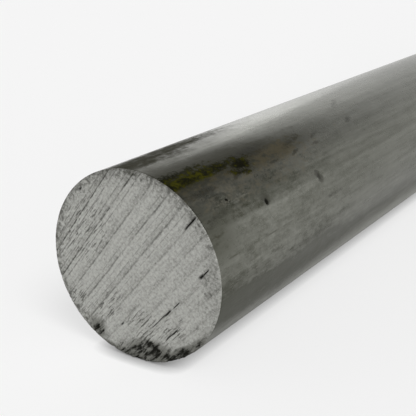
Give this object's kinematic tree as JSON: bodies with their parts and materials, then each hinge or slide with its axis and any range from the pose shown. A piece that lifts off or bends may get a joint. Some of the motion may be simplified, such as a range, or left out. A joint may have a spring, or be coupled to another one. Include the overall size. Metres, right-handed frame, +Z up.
{
  "type": "round metal bar",
  "caption": "Solid round steel bar stock, sawn to length and lying on its side, with a dark rolled skin and bare saw-marked ends. Raw material for shafts, pins and frames.",
  "frame": {"origin": "on the floor under the middle of the bar, halfway between the furthest points of its two cuts", "axes": "+X along the bar from its leaning front cut to its square back cut, +Z up"},
  "size_m": [1, 0.06, 0.0598],
  "materials": {
    "steel": "mill-finish steel: a dark satin rolled skin with oily stains on the round, and bare light grey saw-marked steel on the ends"
  },
  "bodies": {
    "root": {"round_bar": "steel"}
  },
  "joints": []
}
